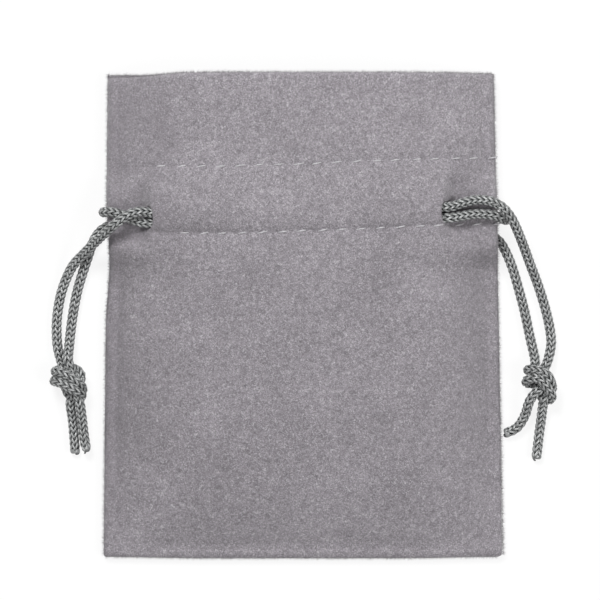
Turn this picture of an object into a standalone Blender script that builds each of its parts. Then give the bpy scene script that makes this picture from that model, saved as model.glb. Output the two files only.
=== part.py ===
"""Drawstring gift pouch of short-pile velvet, lying on its back, in metres.

The frame: +Z is up, the pouch lies on z = 0, its mouth points to +Y and its foot to -Y, and the
origin is at the middle of its underside. Two cloth panels are joined at the sides and at the
foot. The top of each panel is folded inwards as a hem, and two rows of stitches through the hem
make the channel that the drawcords run in. Each drawcord goes once around the pouch: its two ends
leave the holes on its own side and are tied together, and its loop wraps round the other side.
"""

import math

import bpy
import bmesh
from mathutils import Vector

# Overall size of the pouch
POUCH_HEIGHT = 0.100
MOUTH_HALF_WIDTH = 0.0396
FOOT_HALF_WIDTH = 0.04085
TOP_HEIGHT = 0.0112  # outer face of the front panel over the table, outside the channel

# Cloth, seams and clearances
CLOTH = 0.0007
CLEARANCE = 0.0003
SEAM_GAP = 0.0012  # between the two panels at the side and foot seams, where the thread runs
SEAM_ZONE = 0.0024  # flat band along the side and foot seams
SEAM_INSET = 0.0012  # seam thread from the edge
FOOT_RISE = 0.030  # length over which the front panel rises from the foot seam
DOME_POWER = 4.0  # how square the front panel is across the width
STACK_RAMP = 0.0055  # length over which the side edge thickens to hold the folded hem

# Hem and its two rows of stitches
LOWER_ROW = 0.0172
CHANNEL_HEIGHT = 0.0138
ROW_TILT = 0.028  # both rows rise a little towards +X
HEM_BELOW_ROW = 0.0035
GROOVE_DEPTH = 0.00075
FRONT_GROOVE_SHARE = 0.6
GROOVE_HALF_WIDTH = 0.0013
ROW_END_INSET = 0.0034
THREAD_DIAMETER = 0.0004
THREAD_CLEARANCE = 0.0002

# Drawcords and their holes; side -1 is left (-X) and side 1 is right (+X)
CORD_DIAMETER = 0.0022
HOLE_X = {-1: 0.0310, 1: 0.0287}
HOLE_HALF_WIDTH = 0.0017
HOLE_ABOVE_ROW = 0.0005
HOLE_HEIGHT = 0.0058
CROSSING_X = -0.0220  # where the two drawcords cross inside the channel
CROSSING_HALF_LENGTH = 0.0065
CROSSING_ROOM = 0.0028
SWELL_POWER = 0.42
UNDERPASS_Y = {-1: 0.0195, 1: 0.0192}  # middle of the lifted stretch of each side edge
UNDERPASS_HALF = 0.0050
UNDERPASS_FADE = 0.0050
WRAP_Y = {-1: 0.0213, 1: 0.0206}  # where a drawcord's loop wraps round each side edge
NOTCH_DEPTH = 0.0010
NOTCH_HALF = 0.0045
DENT_HALF = 0.0038
DENT_FADE = 0.0045
KNOT_HALF_HEIGHT = 0.00325

COLUMNS = 26  # steps across a panel
FOLD_STEPS = 3

FOOT_Y = -POUCH_HEIGHT / 2
MOUTH_Y = POUCH_HEIGHT / 2
CORD_RADIUS = CORD_DIAMETER / 2
CORD_ROOM = CORD_DIAMETER + 1.5 * CLEARANCE
FOLD_RADIUS = CLOTH + CLEARANCE / 2
LIFT = CORD_DIAMETER + CLEARANCE + 0.0002  # a cord passes under the lifted side edge

# Routes of the drawcords in millimetres: x and y inside the channel, where the cord lies midway
# between the cloth's faces, and x, y and z of the middle of the cord outside it.
LEFT_FRONT_RUN = [
    (-29.0, 21.0),
    (-26.5, 21.1),
    (-24.3, 20.8),
    (-22.0, 20.0),
    (-19.7, 19.3),
    (-17.5, 18.9),
    (-8.0, 19.2),
    (4.0, 19.5),
    (16.0, 19.8),
    (22.5, 20.0),
    (26.0, 20.2),
]
LEFT_WRAP = [
    (28.7, 20.2, 9.6),
    (31.4, 20.4, 9.1),
    (34.5, 20.7, 8.9),
    (37.4, 20.8, 8.85),
    (39.3, 20.8, 8.5),
    (40.9, 20.7, 7.1),
    (41.5, 20.6, 4.95),
    (40.9, 20.6, 2.7),
    (39.4, 20.6, 1.4),
    (37.0, 20.8, 1.2),
    (34.0, 21.7, 1.2),
    (30.5, 22.5, 1.45),
]
LEFT_BACK_RUN = [
    (27.0, 22.7),
    (16.0, 22.4),
    (2.0, 22.0),
    (-12.0, 21.6),
    (-18.0, 21.2),
    (-22.0, 20.0),
    (-26.0, 18.8),
    (-29.0, 18.5),
]
LEFT_FRONT_LEG = [
    (-29.6, 21.0, 10.0),
    (-31.6, 21.3, 10.2),
    (-33.6, 21.4, 10.8),
    (-35.9, 20.4, 11.2),
    (-38.5, 18.5, 10.6),
    (-40.8, 16.6, 8.8),
    (-42.6, 15.0, 6.6),
    (-44.8, 12.9, 4.5),
    (-47.1, 10.6, 2.8),
    (-48.6, 8.0, 1.7),
    (-49.95, 4.2, 1.25),
    (-50.75, -0.9, 1.2),
    (-50.65, -6.0, 1.2),
    (-49.8, -9.55, 1.5),
]
LEFT_BACK_LEG = [
    (-29.5, 18.5, 2.0),
    (-31.6, 18.4, 1.45),
    (-34.5, 18.5, 1.2),
    (-38.0, 18.7, 1.2),
    (-40.6, 18.2, 1.2),
    (-42.3, 16.8, 1.2),
    (-43.4, 14.9, 1.2),
    (-44.3, 12.2, 1.2),
    (-45.45, 8.7, 1.2),
    (-46.65, 4.5, 1.2),
    (-47.6, -0.9, 1.3),
    (-48.15, -6.0, 2.2),
    (-48.3, -9.3, 3.9),
]
LEFT_KNOT = (-48.35, -14.0)
LEFT_KNOT_HALF = (3.95, 4.1)
LEFT_FRONT_TAIL = [(-47.9, -18.5, 2.2), (-47.5, -21.5, 1.3), (-47.2, -25.0, 1.2), (-46.9, -28.4, 1.2)]
LEFT_BACK_TAIL = [(-45.9, -18.0, 3.6), (-45.5, -21.3, 2.7), (-45.1, -24.8, 2.2), (-44.7, -28.0, 1.9)]

RIGHT_FRONT_RUN = [
    (27.0, 22.6),
    (24.0, 22.5),
    (16.0, 22.3),
    (4.0, 22.0),
    (-8.0, 21.7),
    (-17.5, 21.3),
    (-19.7, 20.8),
    (-22.0, 19.9),
    (-24.3, 19.0),
    (-26.5, 18.6),
    (-29.0, 18.5),
]
RIGHT_WRAP = [
    (-31.2, 18.5, 9.35),
    (-33.5, 18.9, 8.9),
    (-36.0, 20.2, 8.8),
    (-38.0, 21.1, 8.75),
    (-39.6, 21.4, 8.3),
    (-41.1, 21.5, 7.0),
    (-41.7, 21.5, 4.95),
    (-41.1, 21.5, 2.7),
    (-39.6, 21.4, 1.4),
    (-37.2, 21.4, 1.2),
    (-34.5, 21.3, 1.2),
    (-31.5, 21.15, 1.5),
]
RIGHT_BACK_RUN = [
    (-29.0, 21.0),
    (-26.0, 21.0),
    (-24.0, 20.7),
    (-22.0, 20.0),
    (-20.0, 19.4),
    (-17.8, 18.9),
    (-14.0, 18.9),
    (0.0, 19.3),
    (14.0, 19.8),
    (27.0, 20.2),
]
RIGHT_FRONT_LEG = [
    (27.5, 22.65, 10.3),
    (29.2, 22.9, 9.9),
    (31.4, 23.8, 9.4),
    (34.2, 24.6, 9.2),
    (37.6, 24.6, 9.4),
    (40.4, 23.4, 9.7),
    (42.4, 20.8, 9.2),
    (44.1, 17.2, 7.2),
    (45.4, 13.8, 5.2),
    (46.8, 10.2, 3.3),
    (48.3, 6.4, 1.9),
    (49.6, 2.4, 1.25),
    (50.6, -1.6, 1.2),
    (51.1, -5.6, 1.25),
    (50.4, -9.15, 1.9),
]
RIGHT_BACK_LEG = [
    (27.4, 20.2, 2.0),
    (29.5, 20.0, 1.45),
    (32.0, 19.3, 1.2),
    (35.0, 18.2, 1.2),
    (38.0, 16.9, 1.2),
    (40.3, 15.4, 1.2),
    (41.8, 13.0, 1.2),
    (43.1, 9.8, 1.2),
    (44.4, 5.4, 1.2),
    (45.6, 0.8, 1.2),
    (46.7, -4.4, 1.3),
    (47.7, -9.0, 2.0),
]
RIGHT_KNOT = (48.55, -13.8)
RIGHT_KNOT_HALF = (3.65, 4.2)
RIGHT_FRONT_TAIL = [(46.3, -18.1, 3.4), (45.6, -20.6, 2.0), (44.1, -23.0, 1.3), (41.75, -24.3, 1.2)]
RIGHT_BACK_TAIL = [(49.3, -18.6, 2.2), (49.0, -21.5, 1.3), (48.5, -25.3, 1.2), (48.0, -29.4, 1.2)]

VELVET_GREY = (0.30, 0.285, 0.305)
THREAD_GREY = (0.42, 0.41, 0.43)
CORD_GREY = (0.16, 0.18, 0.18)


def clear_scene():
    """Removes every object that the file opened with."""
    for old in list(bpy.data.objects):
        bpy.data.objects.remove(old, do_unlink=True)


def material(name, colour, roughness):
    """A plain Principled material."""
    made = bpy.data.materials.new(name)
    made.use_nodes = True
    shader = made.node_tree.nodes["Principled BSDF"]
    shader.inputs["Base Color"].default_value = (*colour, 1.0)
    shader.inputs["Roughness"].default_value = roughness
    shader.inputs["Metallic"].default_value = 0.0
    return made


def ease(t):
    """Smooth step from 0 to 1."""
    t = min(max(t, 0.0), 1.0)
    return t * t * (3 - 2 * t)


def hump(distance, half):
    """Cosine hump: 1 at no distance and 0 from half on."""
    if abs(distance) >= half:
        return 0.0
    return math.cos(math.pi / 2 * distance / half) ** 2


def plateau(distance, half, fade):
    """1 within half of the middle, easing to 0 over fade."""
    return 1.0 - ease((abs(distance) - half) / fade)


def side_of(x):
    return -1 if x < 0 else 1


def lower_row(x):
    return LOWER_ROW + ROW_TILT * x


def upper_row(x):
    return LOWER_ROW + CHANNEL_HEIGHT + ROW_TILT * x


def hole_middle(side):
    """Middle of a hole along Y."""
    return lower_row(side * HOLE_X[side]) + HOLE_ABOVE_ROW + HOLE_HEIGHT / 2


def half_width(y, side):
    """Half width of the pouch at y: a straight taper, with a notch where the cord wraps round."""
    up = (y - FOOT_Y) / POUCH_HEIGHT
    straight = FOOT_HALF_WIDTH + (MOUTH_HALF_WIDTH - FOOT_HALF_WIDTH) * up
    return straight - NOTCH_DEPTH * hump(y - WRAP_Y[side], NOTCH_HALF)


def past_hole(x):
    """0 inside the pair of holes and 1 outside them, along X."""
    start = HOLE_X[side_of(x)] - HOLE_HALF_WIDTH
    return ease((abs(x) - start) / (2 * HOLE_HALF_WIDTH))


def channel_gap(x, y):
    """Room between a panel and its hem: it swells between the rows and shuts past the holes."""
    start = lower_row(x) + HOLE_ABOVE_ROW
    up = (y - start) / (upper_row(x) - start)
    if not 0.0 < up < 1.0:
        return CLEARANCE
    swell = math.sin(math.pi * up**SWELL_POWER)
    room = CORD_ROOM + crossing_room(x)
    return CLEARANCE + swell * room * (1.0 - past_hole(x))


def crossing_room(x):
    return CROSSING_ROOM * hump(x - CROSSING_X, CROSSING_HALF_LENGTH)


def groove(x, y):
    """Depth of the groove that each row of stitches pulls into the cloth."""
    nearest = min(abs(y - lower_row(x)), abs(y - upper_row(x)))
    inset = half_width(y, side_of(x)) - abs(x)
    return GROOVE_DEPTH * max(0.0, 1 - nearest / GROOVE_HALF_WIDTH) * ease(inset / ROW_END_INSET - 0.4)


def back_height(x, y):
    """Underside of the back panel: flat on the table, lifted where the cords pass under it."""
    side = side_of(x)
    lift = LIFT * past_hole(x) * plateau(y - UNDERPASS_Y[side], UNDERPASS_HALF, UNDERPASS_FADE)
    return lift + groove(x, y)


def edge_stack(x, y):
    """Thickness of the whole pouch at its side edge, with or without the folded hem."""
    plain = 2 * CLOTH + SEAM_GAP
    hem = 2 * (CLOTH + CLEARANCE)
    hem_end = lower_row(x) - HEM_BELOW_ROW
    return plain + hem * ease((y - hem_end + STACK_RAMP + CLEARANCE) / STACK_RAMP)


def edge_height(x, y):
    """Top of the side edge level with y."""
    side = side_of(x)
    at_edge = side * half_width(y, side)
    return back_height(at_edge, y) + edge_stack(x, y)


def front_base(x, y):
    """Outer face of the front panel without its channel: a low dome, dented by the cords."""
    side = side_of(x)
    edge = edge_height(x, y)
    across = min(abs(x) / (half_width(y, side) - SEAM_ZONE), 1.0)
    along = min(max((y - FOOT_Y - SEAM_ZONE) / FOOT_RISE, 0.0), 1.0)
    dome = (1 - across**DOME_POWER) * (1 - (1 - along) ** 2.6)
    dent = past_hole(x) * plateau(y - hole_middle(side), DENT_HALF, DENT_FADE)
    return edge + (TOP_HEIGHT - edge) * dome * (1 - dent)


def front_height(x, y):
    """Outer face of the front panel, always clear of the back panel's channel."""
    half_crossing = 0.0
    if lower_row(x) < y < upper_row(x):
        share = (channel_gap(x, y) - CLEARANCE) / (CORD_ROOM + crossing_room(x))
        half_crossing = share * crossing_room(x) / 2
    raised = channel_gap(x, y) - CLEARANCE - half_crossing
    sunk = FRONT_GROOVE_SHARE * groove(x, y) * (1 - past_hole(x))
    height = front_base(x, y) + raised - sunk
    if lower_row(x) < y < upper_row(x):
        over_back = back_layers(x, y)[3] + CLEARANCE
        height = max(height, over_back + channel_gap(x, y) + 2 * CLOTH)
    return height


def front_layers(x, y):
    """Heights of the front panel's faces: outer, inner, hem's outer and hem's inner."""
    outer = front_height(x, y)
    gap = channel_gap(x, y)
    return outer, outer - CLOTH, outer - CLOTH - gap, outer - 2 * CLOTH - gap


def back_layers(x, y):
    """Heights of the back panel's faces: outer, inner, hem's outer and hem's inner."""
    outer = back_height(x, y)
    gap = channel_gap(x, y)
    return outer, outer + CLOTH, outer + CLOTH + gap, outer + 2 * CLOTH + gap


def stations(x):
    """Places along Y at which a panel has points, from the foot to the fold, with the index of
    the hem's end and of the holes' two ends."""
    low = lower_row(x)
    high = upper_row(x)
    hem_end = low - HEM_BELOW_ROW
    rise = FOOT_Y + SEAM_ZONE
    body = [FOOT_Y, rise]
    body += [rise + FOOT_RISE * share for share in (0.1, 0.28, 0.58, 1.0)]
    body += [hem_end - STACK_RAMP - 0.006, hem_end - STACK_RAMP, hem_end - STACK_RAMP / 2]
    hole = [low + HOLE_ABOVE_ROW + HOLE_HEIGHT * share for share in (0.0, 0.12, 0.3, 0.5, 0.76, 1.0)]
    hem = [hem_end, low - GROOVE_HALF_WIDTH, low] + hole
    hem += [low + CHANNEL_HEIGHT * share for share in (0.6, 0.8)]
    hem += [high - GROOVE_HALF_WIDTH, high, high + GROOVE_HALF_WIDTH]
    fold = MOUTH_Y - FOLD_RADIUS
    hem += [high + (fold - high) * share for share in (0.4, 0.75)] + [fold]
    return body + hem, len(body), len(body) + 3, len(body) + 8


def columns():
    """Places across a panel as shares of its half width, with the columns at the holes."""
    at_row = {side: half_width(hole_middle(side), side) for side in (-1, 1)}
    holes = []
    for side in (-1, 1):
        for end in (-1, 1):
            holes.append(side * (HOLE_X[side] + end * HOLE_HALF_WIDTH) / at_row[side])
    even = [-1 + 2 * i / COLUMNS for i in range(COLUMNS + 1)]
    seam = 1 - SEAM_ZONE / FOOT_HALF_WIDTH
    kept = [u for u in even if all(abs(u - fixed) > 0.6 / COLUMNS for fixed in holes + [-seam, seam])]
    return sorted(kept + holes + [-seam, seam]), sorted(holes)


def panel(name, layers, finish):
    """One cloth panel with its top folded inwards: each column across the width is a closed ring
    of points round both faces of the cloth, neighbouring rings are joined by quads, and the cells
    of the two cord holes are left out and walled."""
    shares, hole_shares = columns()
    mesh = bmesh.new()
    rings = []
    for share in shares:
        side = side_of(share)
        hem_row = stations(share * half_width(LOWER_ROW, side))
        ys, hem_start, hole_low, hole_high = hem_row
        levels = []
        for y in ys:
            x = share * half_width(y, side)
            levels.append((x, y, layers(x, y)))
        outer = [mesh.verts.new((x, y, z[0])) for x, y, z in levels]
        inner = [mesh.verts.new((x, y, z[1])) for x, y, z in levels]
        hem_out = [mesh.verts.new((x, y, z[2])) for x, y, z in levels[hem_start:]]
        hem_in = [mesh.verts.new((x, y, z[3])) for x, y, z in levels[hem_start:]]
        x, y, z = levels[-1]
        middle = (z[0] + z[3]) / 2
        reach = (z[0] - z[3]) / 2
        fold = []
        for step in range(1, FOLD_STEPS + 1):
            angle = math.pi * step / (FOLD_STEPS + 1)
            place = (x, y + FOLD_RADIUS * math.sin(angle), middle + reach * math.cos(angle))
            fold.append(mesh.verts.new(place))
        slot = mesh.verts.new((x, y + CLEARANCE / 2, middle))
        ring = outer + fold + hem_in[::-1] + hem_out + [slot] + inner[::-1]
        rings.append((ring, outer, inner, hem_out, hem_in, fold, slot))
    hole_ends = [shares.index(u) for u in hole_shares]
    skipped = [(hole_ends[0], hole_ends[1]), (hole_ends[2], hole_ends[3])]
    for i in range(len(rings) - 1):
        here = rings[i][0]
        there = rings[i + 1][0]
        opened = any(start <= i < end for start, end in skipped)
        count = len(here)
        for k in range(count):
            after = (k + 1) % count
            in_outer = hole_low <= k < hole_high
            in_inner = hole_low < count - 1 - k <= hole_high
            if opened and (in_outer or in_inner):
                continue
            mesh.faces.new((here[k], here[after], there[after], there[k]))
    for start, end in skipped:
        wall_hole(mesh, rings, start, end, hole_low, hole_high)
    for ring in (rings[0], rings[-1]):
        close_side(mesh, ring)
    bmesh.ops.recalc_face_normals(mesh, faces=mesh.faces)
    data = bpy.data.meshes.new(name)
    mesh.to_mesh(data)
    mesh.free()
    data.shade_smooth()
    data.materials.append(finish)
    made = bpy.data.objects.new(name, data)
    bpy.context.collection.objects.link(made)
    return made


def wall_hole(mesh, rings, start, end, low, high):
    """Walls of one cord hole, between the outer and inner faces of the cloth."""
    for i in range(start, end):
        for k in (low, high):
            a = rings[i]
            b = rings[i + 1]
            mesh.faces.new((a[1][k], b[1][k], b[2][k], a[2][k]))
    for i in (start, end):
        for k in range(low, high):
            a = rings[i]
            mesh.faces.new((a[1][k], a[1][k + 1], a[2][k + 1], a[2][k]))


def close_side(mesh, ring):
    """Cut edge of the cloth at one side of a panel."""
    _, outer, inner, hem_out, hem_in, fold, slot = ring
    for k in range(len(outer) - 1):
        mesh.faces.new((outer[k], outer[k + 1], inner[k + 1], inner[k]))
    for k in range(len(hem_out) - 1):
        mesh.faces.new((hem_out[k], hem_out[k + 1], hem_in[k + 1], hem_in[k]))
    mesh.faces.new([outer[-1], *fold, hem_in[-1], hem_out[-1], slot, inner[-1]])


def tube(name, points, diameter, finish):
    """A round tube along a line of points, with filled ends."""
    curve = bpy.data.curves.new(name, "CURVE")
    curve.dimensions = "3D"
    curve.bevel_depth = diameter / 2
    curve.bevel_resolution = 2
    curve.use_fill_caps = True
    line = curve.splines.new("POLY")
    line.points.add(len(points) - 1)
    for point, place in zip(line.points, points):
        point.co = (*place, 1.0)
    line.use_smooth = True
    curve.materials.append(finish)
    made = bpy.data.objects.new(name, curve)
    bpy.context.collection.objects.link(made)
    return made


def smooth_route(route, per_span):
    """Points of a smooth curve through a hand-chosen route in millimetres: a Catmull-Rom curve,
    read per_span times between each two of the route's points."""
    knots = [Vector(p) / 1000 for p in route]
    padded = [2 * knots[0] - knots[1]] + knots + [2 * knots[-1] - knots[-2]]
    read = []
    for a, b, c, d in zip(padded, padded[1:], padded[2:], padded[3:]):
        for step in range(per_span):
            t = step / per_span
            bend = 2 * a - 5 * b + 4 * c - d
            twist = 3 * b - a - 3 * c + d
            read.append((2 * b + (c - a) * t + bend * t**2 + twist * t**3) / 2)
    return read + [knots[-1]]


def knot(name, place, half, finish):
    """Outer shape of an overhand knot tied in two strands: a closed, rounded lump."""
    mesh = bmesh.new()
    bmesh.ops.create_uvsphere(mesh, u_segments=16, v_segments=9, radius=1.0)
    data = bpy.data.meshes.new(name)
    size = Vector((half[0] / 1000, half[1] / 1000, KNOT_HALF_HEIGHT))
    for vertex in mesh.verts:
        vertex.co = Vector(a * b for a, b in zip(vertex.co, size))
    mesh.to_mesh(data)
    mesh.free()
    data.shade_smooth()
    data.materials.append(finish)
    made = bpy.data.objects.new(name, data)
    made.location = (place[0] / 1000, place[1] / 1000, KNOT_HALF_HEIGHT + CLEARANCE / 3)
    bpy.context.collection.objects.link(made)
    return made


def row_thread(name, row, height, away, finish):
    """Thread of one row of stitches, laid in its groove from side to side."""
    lift = away * (THREAD_CLEARANCE + THREAD_DIAMETER / 2)
    points = []
    for share in columns()[0]:
        side = side_of(share)
        x = share * half_width(LOWER_ROW, side)
        x = share * half_width(row(x), side)
        if abs(x) < FOOT_HALF_WIDTH - ROW_END_INSET:
            points.append((x, row(x), height(x, row(x)) + lift))
    return tube(name, points, THREAD_DIAMETER, finish)


def side_thread(name, side, finish):
    """Thread of a side seam, between the two panels."""
    points = []
    for y in stations(side * MOUTH_HALF_WIDTH)[0][1:-1]:
        edge = side * half_width(y, side)
        middle = back_height(edge, y) + edge_stack(edge, y) / 2
        points.append((edge - side * SEAM_INSET, y, middle))
    return tube(name, points, THREAD_DIAMETER, finish)


def foot_thread(name, finish):
    """Thread of the foot seam, between the two panels."""
    y = FOOT_Y + SEAM_INSET
    reach = FOOT_HALF_WIDTH - SEAM_INSET - SEAM_ZONE
    points = [(reach * i / 4, y, CLOTH + SEAM_GAP / 2) for i in range(-4, 5)]
    return tube(name, points, THREAD_DIAMETER, finish)


def channel_run(points, layers, over):
    """A stretch of cord midway between the cloth and its hem; where the two drawcords cross, this
    one passes on the side that over gives."""
    run = []
    for point in points:
        x, y = (value / 1000 for value in point)
        faces = layers(x, y)
        z = (faces[1] + faces[2]) / 2 + over * crossing_room(x) / 2
        run.append((*point, z * 1000))
    return run


def cord_piece(name, route, finish):
    return tube(name, smooth_route(route, 2), CORD_DIAMETER, finish)


def left_drawcord(finish):
    """The drawcord whose ends leave on the left and whose loop wraps round the right side."""
    front_run = channel_run(LEFT_FRONT_RUN, front_layers, 1)
    back_run = channel_run(LEFT_BACK_RUN, back_layers, -1)
    cord_piece("left_drawcord_loop", front_run + LEFT_WRAP + back_run, finish)
    cord_piece("left_drawcord_front_leg", LEFT_FRONT_LEG, finish)
    cord_piece("left_drawcord_back_leg", LEFT_BACK_LEG, finish)
    knot("left_drawcord_knot", LEFT_KNOT, LEFT_KNOT_HALF, finish)
    cord_piece("left_drawcord_front_tail", LEFT_FRONT_TAIL, finish)
    cord_piece("left_drawcord_back_tail", LEFT_BACK_TAIL, finish)


def right_drawcord(finish):
    """The drawcord whose ends leave on the right and whose loop wraps round the left side."""
    front_run = channel_run(RIGHT_FRONT_RUN, front_layers, -1)
    back_run = channel_run(RIGHT_BACK_RUN, back_layers, 1)
    cord_piece("right_drawcord_loop", front_run + RIGHT_WRAP + back_run, finish)
    cord_piece("right_drawcord_front_leg", RIGHT_FRONT_LEG, finish)
    cord_piece("right_drawcord_back_leg", RIGHT_BACK_LEG, finish)
    knot("right_drawcord_knot", RIGHT_KNOT, RIGHT_KNOT_HALF, finish)
    cord_piece("right_drawcord_front_tail", RIGHT_FRONT_TAIL, finish)
    cord_piece("right_drawcord_back_tail", RIGHT_BACK_TAIL, finish)


def build_pouch():
    clear_scene()
    velvet = material("velvet", VELVET_GREY, 0.95)
    thread = material("sewing_thread", THREAD_GREY, 0.6)
    cord = material("braided_cord", CORD_GREY, 0.45)
    panel("front_panel", front_layers, velvet)
    panel("back_panel", back_layers, velvet)
    row_thread("front_upper_stitches", upper_row, front_height, 1, thread)
    row_thread("front_lower_stitches", lower_row, front_height, 1, thread)
    row_thread("back_upper_stitches", upper_row, back_height, -1, thread)
    row_thread("back_lower_stitches", lower_row, back_height, -1, thread)
    side_thread("left_side_seam_thread", -1, thread)
    side_thread("right_side_seam_thread", 1, thread)
    foot_thread("foot_seam_thread", thread)
    left_drawcord(cord)
    right_drawcord(cord)


build_pouch()
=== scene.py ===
import math

import bpy
import numpy as np
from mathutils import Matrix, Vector


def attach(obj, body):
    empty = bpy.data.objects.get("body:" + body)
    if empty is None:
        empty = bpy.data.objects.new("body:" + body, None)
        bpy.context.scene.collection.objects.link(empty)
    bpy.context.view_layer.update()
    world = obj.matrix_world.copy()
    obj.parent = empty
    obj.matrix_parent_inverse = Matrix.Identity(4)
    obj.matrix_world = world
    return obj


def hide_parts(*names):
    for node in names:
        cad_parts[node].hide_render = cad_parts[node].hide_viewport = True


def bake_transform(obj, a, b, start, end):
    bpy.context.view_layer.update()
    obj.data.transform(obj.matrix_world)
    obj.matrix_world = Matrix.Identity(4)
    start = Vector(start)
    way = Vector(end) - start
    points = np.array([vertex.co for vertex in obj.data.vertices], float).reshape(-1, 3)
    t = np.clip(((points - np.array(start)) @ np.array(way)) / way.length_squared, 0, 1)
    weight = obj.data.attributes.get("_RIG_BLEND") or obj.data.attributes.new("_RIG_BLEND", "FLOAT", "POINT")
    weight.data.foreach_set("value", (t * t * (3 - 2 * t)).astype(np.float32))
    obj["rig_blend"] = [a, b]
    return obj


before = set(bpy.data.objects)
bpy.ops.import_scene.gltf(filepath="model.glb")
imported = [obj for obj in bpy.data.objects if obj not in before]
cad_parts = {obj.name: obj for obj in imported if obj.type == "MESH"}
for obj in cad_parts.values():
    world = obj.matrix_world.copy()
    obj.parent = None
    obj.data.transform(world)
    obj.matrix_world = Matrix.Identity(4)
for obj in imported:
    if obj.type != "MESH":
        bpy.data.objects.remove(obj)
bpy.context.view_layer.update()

MM = 0.001

# ---------------------------------------------------------------- sizes, in millimetres
FOOT_Y, MOUTH_Y = -50.0, 50.0
MOUTH_HALF_WIDTH, FOOT_HALF_WIDTH = 39.6, 40.85
TOP_HEIGHT = 11.2  # of the dome, without the channel's swell
CLOTH = 0.7  # thickness of one layer
CLEARANCE = 0.3
SEAM_GAP = 1.2  # between the two panels at their edges
SEAM_ZONE = 2.4  # how far in from a side edge the dome starts
FOOT_RISE = 30.0
DOME_POWER = 4.0
STACK_RAMP = 5.5
LOWER_ROW, CHANNEL_HEIGHT, ROW_TILT = 17.2, 13.8, 0.028
HEM_BELOW_ROW = 3.5
CREASE_DEPTH, CREASE_WIDTH, DIMPLE_DEPTH = 0.11, 0.7, 0.2
CHANNEL_RISE, CROSSING_RISE = 1.1, 0.7
CORD = 2.2
CORD_ROOM = CORD + 1.5 * CLEARANCE
HOLE_X = np.array([31.9, 30.4])  # left and right, as in every pair below that is an array
HOLE_HALF_WIDTH = 1.7
CROSSING_X, CROSSING_HALF_LENGTH, CROSSING_ROOM = -22.0, 6.5, 2.8
SWELL_POWER = 0.42
UNDERPASS_Y = np.array([19.5, 19.0])
UNDERPASS_HALF, UNDERPASS_FADE = 5.0, 5.0
DENT_HALF, DENT_FADE = 3.8, 4.5
FOLD_RADIUS = CLOTH + CLEARANCE / 2
LIFT = CORD + CLEARANCE + 0.2  # of the back panel, where the cords pass under it
SLIT_WIDTH = 1.5
SLIT_LOW, SLIT_HIGH = np.array([17.75, 18.95]), np.array([22.3, 23.3])
STITCH_PITCH, STITCH_SEEN = 3.99, 2.0
UPPER_START, LOWER_START = -0.5, 0.25
LEFT_INSET, MOUTH_DROP, CORNER_LIFT = 0.7, 0.35, 0.3
CHANNEL_LOW, CHANNEL_HIGH = LOWER_ROW + 0.07, LOWER_ROW + CHANNEL_HEIGHT - 0.07  # at x = 0
LOWER_SWAY = (
    [-40, -31, -17, -4, 2, 12, 24, 34, 40], [0.75, 0.7, 0.05, 0.0, 0.1, 0.15, 0.4, 0.5, 0.45],
)
UPPER_SWAY = (
    [-40, -30, -16, -8, 2, 8, 18, 28, 40], [0.4, 0.45, -0.1, 0.0, -0.1, 0.1, 0.2, 0.25, 0.3],
)
SOFT_FRONT, SOFT_BACK = 0.11, 0.03  # how uneven the lying cloth is
ROLL_WIDTH, ROLL_LEFT_OPEN = 1.5, 0.03  # how the cloth rolls in at its edges
EDGE_ZONE = 1.7  # width of the finer columns and rows along the edges
CORNER_X, CORNER_RADIUS, CORNER_PULL = 39.6, 1.2, 0.5
STITCH_RADIUS, SEAM_RADIUS = 0.15, 0.18
SEAM_PITCH, SEAM_STITCH, SEAM_INSET = 2.6, 1.9, 0.45
THREAD_SIDES, PLY_DEPTH, PLY_TWIST = 10, 0.22, 2.6
FRINGE_PER_SIDE, FRINGE_THICKNESS = 5000, 0.03
FRINGE_SHORTEST, FRINGE_LONGEST = 0.25, 0.95
ON_TABLE = 0.01  # lowest height of any cloth or thread

# Routes of the two drawcords, in millimetres
LEFT_FRONT_RUN = [
    (-29.0, 21.0), (-26.5, 21.1), (-24.3, 20.8), (-22.0, 20.0), (-19.7, 19.3), (-17.5, 18.9),
    (-8.0, 19.2), (4.0, 19.5), (16.0, 19.8), (22.5, 19.9), (27.6, 19.9),
]
LEFT_WRAP = [
    (29.6, 19.95, 9.3), (31.8, 20.2, 9.0), (34.6, 20.7, 8.9), (37.4, 20.7, 8.85),
    (39.4, 20.4, 8.5), (41.0, 19.8, 7.1), (41.6, 19.6, 4.95), (41.0, 19.9, 2.7),
    (39.4, 20.6, 1.4), (37.0, 20.8, 1.2), (34.0, 21.7, 1.2), (30.5, 22.5, 1.45),
]
LEFT_BACK_RUN = [
    (27.0, 22.7), (16.0, 22.4), (2.0, 22.0), (-12.0, 21.6), (-18.0, 21.2), (-22.0, 20.0),
    (-26.0, 18.8), (-29.0, 18.5),
]
LEFT_FRONT_LEG = [
    (-30.4, 20.9, 9.6), (-32.0, 21.15, 10.2), (-33.8, 21.2, 10.9), (-35.9, 20.4, 11.2),
    (-38.5, 18.5, 10.6), (-40.8, 16.6, 8.8), (-42.6, 15.0, 6.6), (-44.8, 12.9, 4.5),
    (-47.1, 10.6, 2.8), (-48.6, 8.0, 1.7), (-49.95, 4.2, 1.25), (-50.75, -0.9, 1.2),
    (-50.65, -6.0, 1.2), (-49.8, -9.55, 1.5),
]
LEFT_BACK_LEG = [
    (-29.5, 18.5, 2.0), (-31.6, 18.4, 1.45), (-34.5, 18.5, 1.2), (-38.0, 18.7, 1.2),
    (-40.6, 18.2, 1.2), (-42.3, 16.8, 1.2), (-43.4, 14.9, 1.2), (-44.3, 12.2, 1.2),
    (-45.45, 8.7, 1.2), (-46.65, 4.5, 1.2), (-47.6, -0.9, 1.3), (-48.15, -6.0, 2.2),
    (-48.3, -9.3, 3.9),
]
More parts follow.
